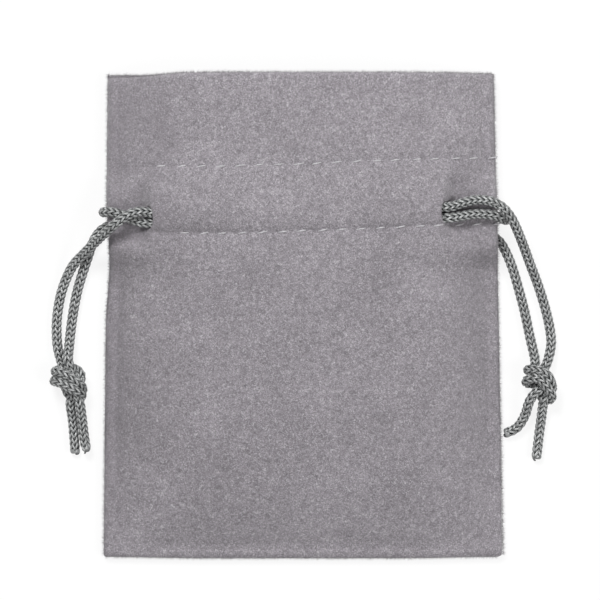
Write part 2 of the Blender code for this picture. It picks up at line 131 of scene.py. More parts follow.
LEFT_KNOT = (-48.35, -14.0)
LEFT_KNOT_FRONT = [
    (-1.2, 3.0, 2.3), (-0.9, 1.2, 2.6), (-0.5, -0.8, 2.3), (0.2, -2.4, 1.6), (1.4, -3.2, 1.5),
    (2.6, -2.9, 2.3), (2.75, -2.0, 3.9), (1.65, -1.5, 5.2), (0.0, -0.45, 5.45), (-1.95, 0.35, 4.9),
    (-2.85, 0.55, 3.3), (-2.2, 0.9, 1.6), (-0.6, 1.3, 1.2), (0.9, 1.2, 1.3), (2.0, 0.6, 2.0),
    (2.2, -0.4, 3.1), (1.2, -1.9, 3.0), (0.6, -3.2, 2.6),
]
LEFT_KNOT_BACK = [
    (0.6, 3.4, 3.9), (0.9, 1.8, 3.5), (0.8, 0.0, 3.0), (0.9, -1.8, 2.4), (1.8, -2.6, 1.5),
    (2.9, -1.6, 2.2), (2.9, -0.7, 3.8), (2.0, 0.3, 5.1), (0.75, 1.3, 5.45), (-0.8, 2.1, 5.2),
    (-2.2, 2.45, 4.2), (-2.6, 2.5, 3.0), (-1.9, 2.8, 1.5), (-0.2, 3.1, 1.2), (1.5, 2.9, 1.7),
    (2.6, 1.9, 2.9), (2.55, 0.8, 3.2), (1.9, -0.8, 3.4), (1.9, -2.4, 3.6),
]
LEFT_FRONT_TAIL = [
    (-47.9, -18.5, 2.2), (-47.5, -21.5, 1.3), (-47.2, -25.0, 1.2), (-46.9, -29.0, 1.2),
]
LEFT_BACK_TAIL = [
    (-45.9, -18.0, 3.6), (-45.5, -21.3, 2.7), (-45.1, -24.8, 2.2), (-44.5, -28.7, 1.9),
]
RIGHT_FRONT_RUN = [
    (27.6, 22.2), (24.0, 22.3), (16.0, 22.3), (4.0, 22.0), (-8.0, 21.7), (-17.5, 21.3),
    (-19.7, 20.8), (-22.0, 19.9), (-24.3, 19.0), (-26.5, 18.7), (-29.2, 18.7),
]
RIGHT_WRAP = [
    (-31.4, 18.9, 9.0), (-33.4, 19.1, 8.8), (-35.6, 19.9, 8.8), (-37.4, 20.7, 8.75),
    (-39.0, 21.1, 8.3), (-40.4, 21.2, 7.0), (-41.0, 21.2, 4.95), (-40.6, 21.3, 2.7),
    (-39.3, 21.4, 1.4), (-37.2, 21.4, 1.2), (-34.5, 21.3, 1.2), (-31.5, 21.15, 1.5),
]
RIGHT_BACK_RUN = [
    (-29.0, 21.0), (-26.0, 21.0), (-24.0, 20.7), (-22.0, 20.0), (-20.0, 19.4), (-17.8, 18.9),
    (-14.0, 18.9), (0.0, 19.3), (14.0, 19.8), (27.0, 20.2),
]
RIGHT_FRONT_LEG = [
    (28.9, 22.2, 9.4), (30.4, 22.3, 9.3), (32.2, 22.9, 9.3), (34.8, 23.6, 9.3), (37.8, 23.5, 9.5),
    (40.6, 22.2, 9.7), (42.6, 19.8, 9.2), (44.2, 16.6, 7.2), (45.5, 13.5, 5.2), (46.8, 10.2, 3.3),
    (48.3, 6.4, 1.9), (49.6, 2.4, 1.25), (50.6, -1.6, 1.2), (51.1, -5.6, 1.25), (50.4, -9.15, 1.9),
]
RIGHT_BACK_LEG = [
    (27.4, 20.2, 2.0), (29.5, 20.0, 1.45), (32.0, 19.3, 1.2), (35.0, 18.2, 1.2), (38.0, 16.9, 1.2),
    (40.3, 15.4, 1.2), (41.8, 13.0, 1.2), (43.1, 9.8, 1.2), (44.4, 5.4, 1.2), (45.6, 0.8, 1.2),
    (46.7, -4.4, 1.3), (47.7, -9.0, 2.0),
]
RIGHT_KNOT = (48.55, -13.8)
RIGHT_KNOT_FRONT = [
    (1.3, 3.4, 2.4), (0.6, 1.6, 2.6), (0.3, -0.4, 2.2), (0.6, -2.2, 1.6), (1.7, -2.6, 1.5),
    (2.6, -1.5, 2.6), (2.5, -0.4, 4.2), (2.0, 0.9, 5.1), (1.1, 2.0, 5.4), (-0.4, 2.6, 5.2),
    (-2.0, 2.7, 4.1), (-2.35, 2.6, 2.9), (-1.7, 2.5, 1.6), (-0.2, 2.2, 1.2), (1.3, 1.5, 1.7),
    (1.8, 0.6, 2.6), (1.0, -0.6, 3.6), (-0.2, -1.5, 4.1), (-1.4, -2.7, 4.0),
]
RIGHT_KNOT_BACK = [
    (-0.9, 3.2, 2.6), (-0.7, 1.2, 2.8), (-0.4, -0.8, 2.4), (0.3, -2.6, 1.7), (1.5, -3.6, 1.7),
    (2.5, -3.2, 3.2), (2.2, -2.0, 4.7), (1.3, -0.7, 5.3), (0.0, 0.7, 5.4), (-1.3, 1.0, 5.0),
    (-2.5, 0.6, 3.8), (-2.6, 0.0, 2.4), (-1.6, -0.2, 1.3), (0.0, 0.0, 1.1), (1.4, -0.4, 1.6),
    (1.9, -1.4, 2.7), (1.4, -2.6, 3.3), (0.9, -3.7, 2.9),
]
RIGHT_FRONT_TAIL = [(46.3, -18.1, 3.4), (45.6, -20.6, 2.0), (43.9, -23.2, 1.3), (40.9, -24.5, 1.2)]
RIGHT_BACK_TAIL = [(49.3, -18.6, 2.2), (49.0, -21.5, 1.3), (48.5, -25.3, 1.2), (47.95, -30.1, 1.2)]


# ---------------------------------------------------------------- shape of the cloth
def ease(t):
    """Smooth step from 0 to 1: 3t^2 - 2t^3."""
    t = np.clip(t, 0.0, 1.0)
    return t * t * (3 - 2 * t)


def hump(distance, half):
    """Cosine hump: 1 at no distance and 0 from half on."""
    return np.cos(np.pi / 2 * np.clip(np.abs(distance) / half, 0, 1)) ** 2


def plateau(distance, half, fade):
    """1 within half of the middle, easing to 0 over fade."""
    return 1.0 - ease((np.abs(distance) - half) / fade)


def side_index(x):
    """0 on the left and 1 on the right."""
    return (np.asarray(x) >= 0).astype(int)


def lower_row(x):
    """Lower row of stitches: a straight line with the small sway that it was sewn with."""
    return LOWER_ROW + ROW_TILT * x + np.interp(x, *LOWER_SWAY)


def upper_row(x):
    """Upper row of stitches: the same line a channel's height further up, with its own sway."""
    return LOWER_ROW + CHANNEL_HEIGHT + ROW_TILT * x + np.interp(x, *UPPER_SWAY)


def hole_middle(side):
    """Middle of a hole along Y."""
    return (SLIT_LOW[side] + SLIT_HIGH[side]) / 2


def half_width(y, side):
    """Half width of the pouch at y: a straight taper, drawn in below the left hole and a little
    wider towards the foot on the right."""
    up = (y - FOOT_Y) / (MOUTH_Y - FOOT_Y)
    taper = FOOT_HALF_WIDTH + (MOUTH_HALF_WIDTH - FOOT_HALF_WIDTH) * up
    drawn_in = LEFT_INSET * hump(y - 12.0, 15.0) * (1 - side)
    return taper - drawn_in + side * (0.2 + 0.45 * (1 - up))


def lean(y):
    """Sideways shift of the cloth, which lies a little askew."""
    return -0.25 - 0.35 * (y - FOOT_Y) / (MOUTH_Y - FOOT_Y)


def past_hole(x, length=2 * HOLE_HALF_WIDTH):
    """0 inside the pair of holes and 1 outside them, along X."""
    start = HOLE_X[side_index(x)] - HOLE_HALF_WIDTH
    return ease((np.abs(x) - start) / length)


def slit_dent(x, y):
    """The cloth past a hole is pressed down under the two strands that come out of it."""
    return past_hole(x, 1.6 * SLIT_WIDTH) * plateau(y - hole_middle(side_index(x)), 2.0, 3.0)


def crossing_room(x):
    """Extra height of the channel where the two drawcords cross: one cosine hump along X."""
    return CROSSING_ROOM * hump(x - CROSSING_X, CROSSING_HALF_LENGTH)


def channel_share(x, y, power):
    """A swell between the two rows of stitches: sin of pi times the share of the way up to a
    power, so a small power fills out the lower side."""
    start = lower_row(x) + 0.1
    up = np.clip((y - start) / (upper_row(x) - start), 0, 1)
    return np.sin(np.pi * up**power) * (1.0 - np.maximum(past_hole(x), slit_dent(x, y)))


def channel_gap(x, y):
    """Gap between the cloth and its hem: a clearance plus the swell that the cords fill."""
    return CLEARANCE + channel_share(x, y, SWELL_POWER) * (CORD_ROOM + crossing_room(x))


def row_crease(x, y, row, start):
    """Depth of the fine crease along one row of stitches, deepest where the thread goes in."""
    away = y - row(x)
    phase = np.mod((x - start) / STITCH_PITCH + 0.5, 1.0)
    near_end = np.minimum(phase, 1 - phase) * STITCH_PITCH
    crease = np.exp(-((away / CREASE_WIDTH) ** 2)) * CREASE_DEPTH
    return crease + np.exp(-((away / 0.75) ** 2) - (near_end / 0.6) ** 2) * DIMPLE_DEPTH


def groove(x, y):
    """The creases of both rows of stitches together, fading out at the side edges."""
    inset = half_width(y, side_index(x)) - np.abs(x)
    creases = row_crease(x, y, lower_row, LOWER_START) + row_crease(x, y, upper_row, UPPER_START)
    return creases * ease(inset / 3.0)


def ripples(x, y, seed, shortest, longest, count=14):
    """A smooth uneven surface: a sum of sine waves of even strength in random directions."""
    random = np.random.default_rng(seed)
    total = np.zeros_like(np.asarray(x, dtype=float))
    turns = random.uniform(0, np.pi, count)
    lengths = random.uniform(shortest, longest, count)
    phases = random.uniform(0, 2 * np.pi, count)
    for turn, length, phase in zip(turns, lengths, phases):
        total += np.sin(2 * np.pi * (x * np.cos(turn) + y * np.sin(turn)) / length + phase)
    return total / math.sqrt(count)


def gathers(x, y):
    """Faint upright folds that the channel is puckered into, strongest in the header."""
    wander = 1.3 * np.sin(y / 9.0) + 0.8 * np.sin(y / 5.3 + 1.0)
    wide_folds = np.sin((x + wander) / 5.1 * 2 * np.pi)
    waves = wide_folds + 0.6 * np.sin((x - wander) / 3.7 * 2 * np.pi + 1.0)
    return 0.05 * waves * ease((y + 5) / 22.0)


def softness(front, x, y):
    """Unevenness of lying cloth: ripples plus gathers, fading to nothing at the side and foot
    edges and round the holes."""
    inset = np.minimum(half_width(y, side_index(x)) - np.abs(x), y - FOOT_Y)
    fade = ease(inset / 9.0)
    seed, strength, gathered = (3, SOFT_FRONT, 1) if front else (8, SOFT_BACK, 0.3)
    near_hole = np.exp(-(((np.abs(x) - 31.5) / 5.0) ** 2) - ((y - 20.6) / 5.0) ** 2)
    uneven = ripples(x, y, seed, 9.0, 34.0) * strength + gathers(x, y) * gathered
    return uneven * fade * (1 - near_hole)


def back_height(x, y):
    """Underside of the back panel: flat on the table, lifted where the cords pass under it."""
    raised = plateau(y - UNDERPASS_Y[side_index(x)], UNDERPASS_HALF, UNDERPASS_FADE)
    return LIFT * past_hole(x) * raised + groove(x, y)


def edge_height(x, y):
    """Top of the side edge level with y."""
    side = side_index(x)
    at_edge = (2 * side - 1) * half_width(y, side)
    hem_end = LOWER_ROW + ROW_TILT * x - HEM_BELOW_ROW
    hem = 2 * (CLOTH + CLEARANCE) * ease((y - hem_end + STACK_RAMP + CLEARANCE) / STACK_RAMP)
    return back_height(at_edge, y) + 2 * CLOTH + SEAM_GAP + hem


def front_height(x, y):
    """Outer face of the front panel: a low dome, dented at the holes, with its channel."""
    side = side_index(x)
    edge = edge_height(x, y)
    across = np.minimum(np.abs(x) / (half_width(y, side) - SEAM_ZONE), 1.0)
    along = np.clip((y - FOOT_Y - SEAM_ZONE) / FOOT_RISE, 0.0, 1.0)
    dome = (1 - across**DOME_POWER) * (1 - (1 - along) ** 2.6)
    dent = past_hole(x) * plateau(y - hole_middle(side), DENT_HALF, DENT_FADE)
    dent = np.maximum(dent, slit_dent(x, y))
    base = edge + (TOP_HEIGHT - edge) * dome * (1 - dent)
    wide_crossing = hump(x - CROSSING_X, 2.1 * CROSSING_HALF_LENGTH)
    raised = channel_share(x, y, 0.78) * (CHANNEL_RISE + CROSSING_RISE * wide_crossing)
    return base + raised - groove(x, y)


def cloth_faces(front, x, y):
    """Heights of one panel's faces: outer, inner, hem's outer and hem's inner."""
    gap = channel_gap(x, y)
    if front:
        outer = front_height(x, y)
        return outer, outer - CLOTH, outer - CLOTH - gap, outer - 2 * CLOTH - gap
    outer = back_height(x, y)
    return outer, outer + CLOTH, outer + CLOTH + gap, outer + 2 * CLOTH + gap


# ---------------------------------------------------------------- meshes
def new_mesh(name, points, faces, finish, uv=None):
    """A mesh object from points in millimetres and an array of quads or triangles, smooth."""
    data = bpy.data.meshes.new(name)
    points = np.asarray(points, dtype=float).reshape(-1, 3) * MM
    faces = np.asarray(faces)
    sizes = faces.shape[1]
    data.vertices.add(len(points))
    data.vertices.foreach_set("co", points.ravel())
    data.loops.add(faces.size)
    data.loops.foreach_set("vertex_index", faces.ravel())
    data.polygons.add(len(faces))
    data.polygons.foreach_set("loop_start", np.arange(0, faces.size, sizes))
    data.polygons.foreach_set("use_smooth", np.ones(len(faces), dtype=bool))
    if uv is not None:
        layer = data.uv_layers.new(name="along")
        layer.data.foreach_set("uv", uv[faces.ravel()].ravel())
    data.update()
    data.validate()
    data.materials.append(finish)
    made = bpy.data.objects.new(name, data)
    bpy.context.collection.objects.link(made)
    return made


def grid_quads(rows, columns, closed_columns=False):
    """Quads of a grid of points stored row by row."""
    i = np.arange(rows - 1)[:, None]
    j = np.arange(columns if closed_columns else columns - 1)[None, :]
    after = (j + 1) % columns
    this_row, next_row = i * columns, (i + 1) * columns
    quads = np.stack([this_row + j, this_row + after, next_row + after, next_row + j], -1)
    return quads.reshape(-1, 4)


def catmull_rom(knots, per_span=8):
    """Points of the Catmull-Rom curve through the knots, read per_span times a span."""
    knots = np.asarray(knots, dtype=float)
    padded = np.vstack([2 * knots[0] - knots[1], knots, 2 * knots[-1] - knots[-2]])
    a, b, c, d = padded[:-3], padded[1:-2], padded[2:-1], padded[3:]
    t = (np.arange(per_span) / per_span)[None, :, None]
    a, b, c, d = (value[:, None, :] for value in (a, b, c, d))
    squared, cubed = 2 * a - 5 * b + 4 * c - d, 3 * b - a - 3 * c + d
    read = (2 * b + (c - a) * t + squared * t**2 + cubed * t**3) / 2
    return np.vstack([read.reshape(-1, 3), knots[-1]])


def lengths_along(points):
    """Length along a line at each of its points: the sum of the steps before it."""
    steps = np.linalg.norm(np.diff(points, axis=0), axis=1)
    return np.concatenate([[0.0], np.cumsum(steps)])


def read_at(values, along, where):
    """Each column of values, read at lengths along a line."""
    return np.stack([np.interp(where, along, values[:, k]) for k in range(values.shape[1])], -1)


def unit(vectors):
    """Each vector divided by its own length."""
    return vectors / np.maximum(np.linalg.norm(vectors, axis=-1, keepdims=True), 1e-9)


def carried_frame(points):
    """Two directions square to a line and to each other at each of its points: the first is the
    one before it with its share along the line taken out, so the pair carries no twist."""
    tangent = unit(np.gradient(points, axis=0))
    normal = np.zeros_like(points)
    normal[0] = unit(np.cross(tangent[0], (0.13, 0.21, 0.97)))
    for k in range(1, len(points)):
        last = normal[k - 1]
        normal[k] = unit(last - np.dot(last, tangent[k]) * tangent[k])
    return normal, np.cross(tangent, normal)


# ---------------------------------------------------------------- drawcords
COURSE = 1.19  # length of one course of knitting
WALES = 4  # columns of stitches round a cord
YARN_RING = 0.64  # radius of the ring that the yarn's middle runs on
YARN_WAVE = 0.20
YARN_HALF_WIDTH, YARN_HALF_THICKNESS = 0.25, 0.25
LOOP_LEAN = 0.47  # radians
LOOP_HALF_HEIGHT = 0.98
STEPS_PER_LOOP = 14
YARN_SIDES = 8
CORE_RADIUS, CORE_SIDES, CORE_STEP = 0.5, 8, 0.5
POINT_STEP = 0.25  # between the points of a drawcord's middle line
# the last value is what the melted tip takes in the yarn's painted shade, which darkens it to about three
# fifths
TIP_RADIUS, TIP_RISE, TIP_FLATNESS, TIP_SHADE_DEPTH = 0.98, 0.62, 0.76, 0.9


def knot_route(place, route):
    """A strand's points inside a knot, moved along X and Y from the knot's middle to its place."""
    return [(place[0] + x, place[1] + y, z) for x, y, z in route]


def channel_route(front, route, over):
    """A stretch of cord midway between the cloth and its hem, over or under at the crossing."""
    xy = np.array(route)
    faces = cloth_faces(front, xy[:, 0], xy[:, 1])
    z = (faces[1] + faces[2]) / 2 + over * crossing_room(xy[:, 0]) / 2
    return np.column_stack([xy, z])


def drawcord_line(front_end, front_run, wrap, back_run, back_end):
    """The middle line of a whole drawcord from its front tail's tip to its back tail's tip, with
    the lengths at which it goes into and comes out of the channel."""
    first = np.array(front_end[::-1])
    held = np.vstack([front_run[1:], wrap, back_run[:-1]])
    last = np.array(back_end)
    knots = np.vstack([first, held, last])
    per_span = 8
    line = catmull_rom(knots, per_span)
    along = lengths_along(line)
    goes_in = along[(len(first) - 1) * per_span]
    comes_out = along[(len(first) + len(held)) * per_span]
    even = np.arange(0, along[-1], POINT_STEP)
    points = read_at(line, along, even)
    kernel = np.hanning(7)
    kernel /= kernel.sum()
    padded = np.pad(points, ((3, 3), (0, 0)), mode="reflect", reflect_type="odd")
    smooth = np.stack([np.convolve(padded[:, k], kernel, mode="valid") for k in range(3)], -1)
    return smooth, lengths_along(smooth), goes_in, comes_out


def melted_tip(middle, outwards, side_a, side_b):
    """The melted end of a cord: a blunt flattened dome, r = 0.98 cos^0.4 a at 0.62 sin a past the
    last stitch, pinched to three quarters one way."""
    rise = np.linspace(-0.35, 1, 12) * np.pi / 2
    turn = 2 * np.pi * np.arange(20) / 20
    radius = TIP_RADIUS * np.cos(rise) ** 0.4 + 0.02
    lumps = 1 + 0.05 * np.sin(3 * turn)[None, :] * np.cos(rise)[:, None]
    return (
        middle
        + outwards * (TIP_RISE * np.sin(rise))[:, None, None]
        + side_a * (radius[:, None] * np.cos(turn) * lumps)[:, :, None]
        + side_b * (TIP_FLATNESS * radius[:, None] * np.sin(turn) * lumps)[:, :, None]
    )


def knitted_cord(name, line, along, start, end, finish, tip=None):
    """A stretch of knitted cord between two lengths along a line. One yarn runs round the cord in
    a spiral of loops: with t growing by 2 pi a loop, the angle is a quarter turn a loop plus a
    lean of sin 2t, the place along the cord is a quarter course a loop plus a height of cos t,
    and the distance from the middle is a ring radius minus a wave of cos 2t. The yarn's cross
    section is an ellipse that lies flat against the cord. A plain round core fills the middle, and tip
    is -1 or 1 for a melted end at the line's start or end. The point attribute made here is a yarn
    point's distance from the middle as a share of the cord's radius, 0 on the core and a fixed value on
    the melted tip; the yarn finish paints shade by it, so the yarn darkens towards the middle and the
    core shows nearly black as painted shade."""
    normal, binormal = carried_frame(line)
    first = int(round(start / COURSE * WALES))
    last = int(round(end / COURSE * WALES))
    t = 2 * np.pi * np.arange(first * STEPS_PER_LOOP, last * STEPS_PER_LOOP + 1) / STEPS_PER_LOOP
    angle = t / WALES + LOOP_LEAN * np.sin(2 * t)
    place = COURSE * t / (2 * np.pi * WALES) + LOOP_HALF_HEIGHT * np.cos(t)
    ring = YARN_RING - YARN_WAVE * np.cos(2 * t)
    middle = read_at(line, along, place)
    side_a = unit(read_at(normal, along, place))
    side_b = unit(read_at(binormal, along, place))
    outward = side_a * np.cos(angle)[:, None] + side_b * np.sin(angle)[:, None]
    yarn = middle + outward * ring[:, None]
    run = unit(np.gradient(yarn, axis=0))
    out = unit(outward - np.sum(outward * run, axis=1, keepdims=True) * run)
    across = np.cross(run, out)
    turn = 2 * np.pi * np.arange(YARN_SIDES) / YARN_SIDES
    wide = YARN_HALF_WIDTH * (0.82 - 0.3 * np.cos(2 * t))
    points = (
        yarn[:, None]
        + out[:, None] * (YARN_HALF_THICKNESS * np.cos(turn))[None, :, None]
        + across[:, None] * (wide[:, None] * np.sin(turn)[None, :])[:, :, None]
    )
    depth = np.linalg.norm(points - middle[:, None], axis=2).reshape(-1)
    quads = grid_quads(len(yarn), YARN_SIDES, closed_columns=True)[:, ::-1]
    yarn_along = lengths_along(yarn)
    around = turn[None, :] / (2 * np.pi)
    uv = np.stack(np.broadcast_arrays(yarn_along[:, None], around), -1).reshape(-1, 2)
    low, high = first * COURSE / WALES, last * COURSE / WALES
    stations = np.linspace(low, high, max(2, int((high - low) / CORE_STEP)))
    core_middle = read_at(line, along, stations)
    core_a = unit(read_at(normal, along, stations))
    core_b = unit(read_at(binormal, along, stations))
    round_core = 2 * np.pi * np.arange(CORE_SIDES) / CORE_SIDES
    core = core_middle[:, None] + CORE_RADIUS * (
        core_a[:, None] * np.cos(round_core)[None, :, None]
        + core_b[:, None] * np.sin(round_core)[None, :, None]
    )
    core_quads = grid_quads(len(stations), CORE_SIDES, closed_columns=True)[:, ::-1]
    core_quads = core_quads + points.size // 3
    parts = [points.reshape(-1, 3), core.reshape(-1, 3)]
    faces = [quads, core_quads]
    # depth for the yarn's painted shade: distance from the middle on the yarn, 0 on the core so that it
    # shows nearly black, and a fixed value on the melted tip
    shade_depths = [depth / (CORD / 2), np.zeros(core.size // 3)]
    if tip is not None:
        at = 0 if tip < 0 else -1
        outwards = tip * unit(np.gradient(core_middle, axis=0))[at]
        dome = melted_tip(core_middle[at], outwards, core_a[at], core_b[at])
        dome_quads = grid_quads(dome.shape[0], dome.shape[1], closed_columns=True)
        dome_quads = dome_quads if tip < 0 else dome_quads[:, ::-1]
        faces.append(dome_quads + sum(len(part) for part in parts))
        parts.append(dome.reshape(-1, 3))
        shade_depths.append(np.full(dome.size // 3, TIP_SHADE_DEPTH))
    points = np.vstack(parts)
    uv = np.vstack([uv, np.zeros((len(points) - len(uv), 2))])
    made = new_mesh(name, points, np.vstack(faces), finish, uv)
    shade_depths = np.concatenate(shade_depths).astype(np.float32)
    made.data.attributes.new("painted_shade_depth", "FLOAT", "POINT").data.foreach_set("value", shade_depths)
    return made


# ---------------------------------------------------------------- finishes
# Darker patches: painted shade along the side edges and by the holes, and darker leaning pile; middle, half
# size and strength
PILE_PATCHES_AND_PAINTED_SHADE = [
    # painted shade along the left edge, where the cloth curves away
    ((-39.5, 0.0), (5.0, 90.0), 0.40),
    # leaning pile at the upper left
    ((-36.0, 40.0), (15.0, 22.0), 0.34),
    # painted shade along the right edge, where the cloth curves away
    ((35.0, -8.0), (7.0, 60.0), 0.16),
    # painted shadow by the right hole, next to the cords
    ((34.0, 21.5), (9.0, 7.0), 0.3),
    # painted shadow by the left hole, next to the cords
    ((-33.0, 20.0), (11.0, 9.0), 0.4),
    # leaning pile: a dark streak at the upper left
    ((-28.5, 35.0), (5.0, 14.0), 0.3),
]


def node(tree, kind, **inputs):
    """A node with its inputs set to plain values or linked to other nodes' outputs."""
    made = tree.nodes.new(kind)
    for key, value in inputs.items():
        if hasattr(value, "is_output"):
            tree.links.new(value, made.inputs[key.replace("_", " ")])
        else:
            made.inputs[key.replace("_", " ")].default_value = value
    return made


def new_material(name, roughness):
    """A material with its node tree and its shader."""
    made = bpy.data.materials.new(name)
    made.use_nodes = True
    shader = made.node_tree.nodes["Principled BSDF"]
    shader.inputs["Roughness"].default_value = roughness
    return made, made.node_tree, shader


def noise(tree, vector, scale, detail=2.0, roughness=0.5, distortion=0.0):
    """A cloudy pattern from 0 to 1, scale clouds to a metre."""
    made = tree.nodes.new("ShaderNodeTexNoise")
    made.inputs["Scale"].default_value = scale
    made.inputs["Detail"].default_value = detail
    made.inputs["Roughness"].default_value = roughness
    made.inputs["Distortion"].default_value = distortion
    tree.links.new(vector, made.inputs["Vector"])
    return made.outputs["Fac"]


def ramp(tree, value, stops):
    """A colour for each value, eased in a straight line between stops of a place and a colour."""
    made = tree.nodes.new("ShaderNodeValToRGB")
    elements = made.color_ramp.elements
    while len(elements) < len(stops):
        elements.new(0.5)
    for element, (place, colour) in zip(elements, stops):
        element.position = place
        element.color = (*colour, 1.0)
    tree.links.new(value, made.inputs["Fac"])
    return made.outputs["Color"]


def mixed(tree, kind, factor, a, b):
    """Colour b laid over colour a by the named way of blending, as strongly as factor says."""
    made = tree.nodes.new("ShaderNodeMix")
    made.data_type = "RGBA"
    made.blend_type = kind
    for socket, value in ((made.inputs[0], factor), (made.inputs[6], a), (made.inputs[7], b)):
        if hasattr(value, "is_output"):
            tree.links.new(value, socket)
        else:
            socket.default_value = value
    return made.outputs[2]


def maths(tree, operation, a, b=0.5):
    """One operation on two values; MULTIPLY_ADD adds 0.5 to their product."""
    made = tree.nodes.new("ShaderNodeMath")
    made.operation = operation
    for socket, value in zip(made.inputs, (a, b)):
        if hasattr(value, "is_output"):
            tree.links.new(value, socket)
        else:
            socket.default_value = value
    return made.outputs[0]


def spot(tree, place, middle, half):
    """A soft round patch: 1 at its middle, fading to 0 at half its size along X and Y."""
    moved = tree.nodes.new("ShaderNodeVectorMath")
    moved.operation = "SUBTRACT"
    tree.links.new(place, moved.inputs[0])
    moved.inputs[1].default_value = (middle[0] * MM, middle[1] * MM, 0)
    scaled = tree.nodes.new("ShaderNodeVectorMath")
    scaled.operation = "MULTIPLY"
    tree.links.new(moved.outputs[0], scaled.inputs[0])
    scaled.inputs[1].default_value = (1 / (half[0] * MM), 1 / (half[1] * MM), 0)
    length = tree.nodes.new("ShaderNodeVectorMath")
    length.operation = "LENGTH"
    tree.links.new(scaled.outputs[0], length.inputs[0])
    fall = tree.nodes.new("ShaderNodeMapRange")
    fall.interpolation_type = "SMOOTHSTEP"
    tree.links.new(length.outputs["Value"], fall.inputs["Value"])
    fall.inputs["From Min"].default_value = 1.0
    fall.inputs["From Max"].default_value = 0.0
    return fall.outputs[0]


def velvet_finish():
    """Short grey pile: fine fibres that lie in wandering lines and soft clouds where the pile leans more
    or less. Painted light and shade by height makes it lighter at the foot and towards the mouth and
    darker in the lower half; painted shade darkens it along the side edges, most on the left, where the
    cloth curves away, and by both holes, where the cords cast shadow; two darker patches of leaning
    pile lie at the upper left."""
    made, tree, shader = new_material("velvet_pile", 0.92)
    place = tree.nodes.new("ShaderNodeTexCoord").outputs["Object"]
    fibres = noise(tree, place, 2200.0, 2.0, 0.6, 1.4)
    speckle = noise(tree, place, 3900.0, 2.0, 0.6, 0.8)
    tufts = noise(tree, place, 700.0, 3.0, 0.65, 0.8)
    clouds = noise(tree, place, 80.0, 3.0, 0.55, 0.4)
    grey = ramp(tree, fibres, [
        (0.32, (0.199, 0.185, 0.201)), (0.52, (0.272, 0.254, 0.275)), (0.68, (0.416, 0.394, 0.421)),
    ])
    for pattern, strength in ((speckle, 0.15), (tufts, 0.08), (clouds, 0.04)):
        low, high = 0.5 - strength, 0.5 + strength
        shade = ramp(tree, pattern, [(0.3, (low, low, low)), (0.7, (high, high, high))])
        grey = mixed(tree, "OVERLAY", 1.0, grey, shade)
    axes = tree.nodes.new("ShaderNodeSeparateXYZ")
    tree.links.new(place, axes.inputs[0])
    # painted light and shade by height: lighter at the foot and towards the mouth, darker in the lower half,
    # standing in for how light falls on the low dome
    up = ramp(tree, maths(tree, "MULTIPLY_ADD", axes.outputs["Y"], 10.0), [
        (0.0, (0.53, 0.53, 0.53)), (0.12, (0.507, 0.507, 0.507)), (0.25, (0.476, 0.476, 0.476)),
        (0.45, (0.49, 0.49, 0.49)), (0.62, (0.5, 0.5, 0.5)), (0.72, (0.522, 0.522, 0.522)),
        (1.0, (0.53, 0.53, 0.53)),
    ])
    grey = mixed(tree, "OVERLAY", 1.0, grey, up)
    # painted shade at the side edges and by the holes, and darker patches of leaning pile, mixed into the
    # colour
    for middle, half, dark in PILE_PATCHES_AND_PAINTED_SHADE:
        share = maths(tree, "MULTIPLY", spot(tree, place, middle, half), dark)
        grey = mixed(tree, "MIX", share, grey, (0.2, 0.185, 0.203, 1.0))
    tree.links.new(grey, shader.inputs["Base Color"])
    height = maths(tree, "ADD", speckle, maths(tree, "MULTIPLY", fibres, 1.5))
    bump = node(tree, "ShaderNodeBump", Height=height, Strength=0.5, Distance=0.0003)
    tree.links.new(bump.outputs["Normal"], shader.inputs["Normal"])
    shader.inputs["Sheen Weight"].default_value = 0.35
    shader.inputs["Sheen Roughness"].default_value = 0.45
    shader.inputs["Specular IOR Level"].default_value = 0.2
    return made


def yarn_finish():
    """Shiny filament yarn: fine lines along the yarn, with painted shade that turns it nearly black deep
    between the stitches and on the core.
    """
    made, tree, shader = new_material("filament_yarn", 0.27)
    uv = tree.nodes.new("ShaderNodeUVMap")
    uv.uv_map = "along"
    stretch = tree.nodes.new("ShaderNodeVectorMath")
    stretch.operation = "MULTIPLY"
    tree.links.new(uv.outputs["UV"], stretch.inputs[0])
    stretch.inputs[1].default_value = (0.45, 14.0, 1.0)
    lines = noise(tree, stretch.outputs[0], 2.2, 2.0, 0.6)
    place = tree.nodes.new("ShaderNodeTexCoord").outputs["Object"]
    patches = noise(tree, place, 700.0, 2.0, 0.5)
    colour = ramp(tree, lines, [(0.32, (0.09, 0.095, 0.094)), (0.68, (0.60, 0.61, 0.61))])
    shade = ramp(tree, patches, [(0.3, (0.36, 0.36, 0.36)), (0.7, (0.64, 0.64, 0.64))])
    colour = mixed(tree, "OVERLAY", 1.0, colour, shade)
    # painted shade: the nearer a point lies to the cord's middle, the darker, nearly black deep between the
    # stitches and on the core
    depth = tree.nodes.new("ShaderNodeAttribute")
    depth.attribute_name = "painted_shade_depth"
    sunk = ramp(tree, depth.outputs["Fac"], [
        (0.6, (0.012, 0.014, 0.014)), (0.84, (0.22, 0.23, 0.23)), (0.96, (1.0, 1.0, 1.0)),
    ])
    colour = mixed(tree, "MULTIPLY", 1.0, colour, sunk)
    tree.links.new(colour, shader.inputs["Base Color"])
    bump = node(tree, "ShaderNodeBump", Height=lines, Strength=0.6, Distance=0.00008)
    tree.links.new(bump.outputs["Normal"], shader.inputs["Normal"])
    shader.inputs["Specular IOR Level"].default_value = 1.0
    return made


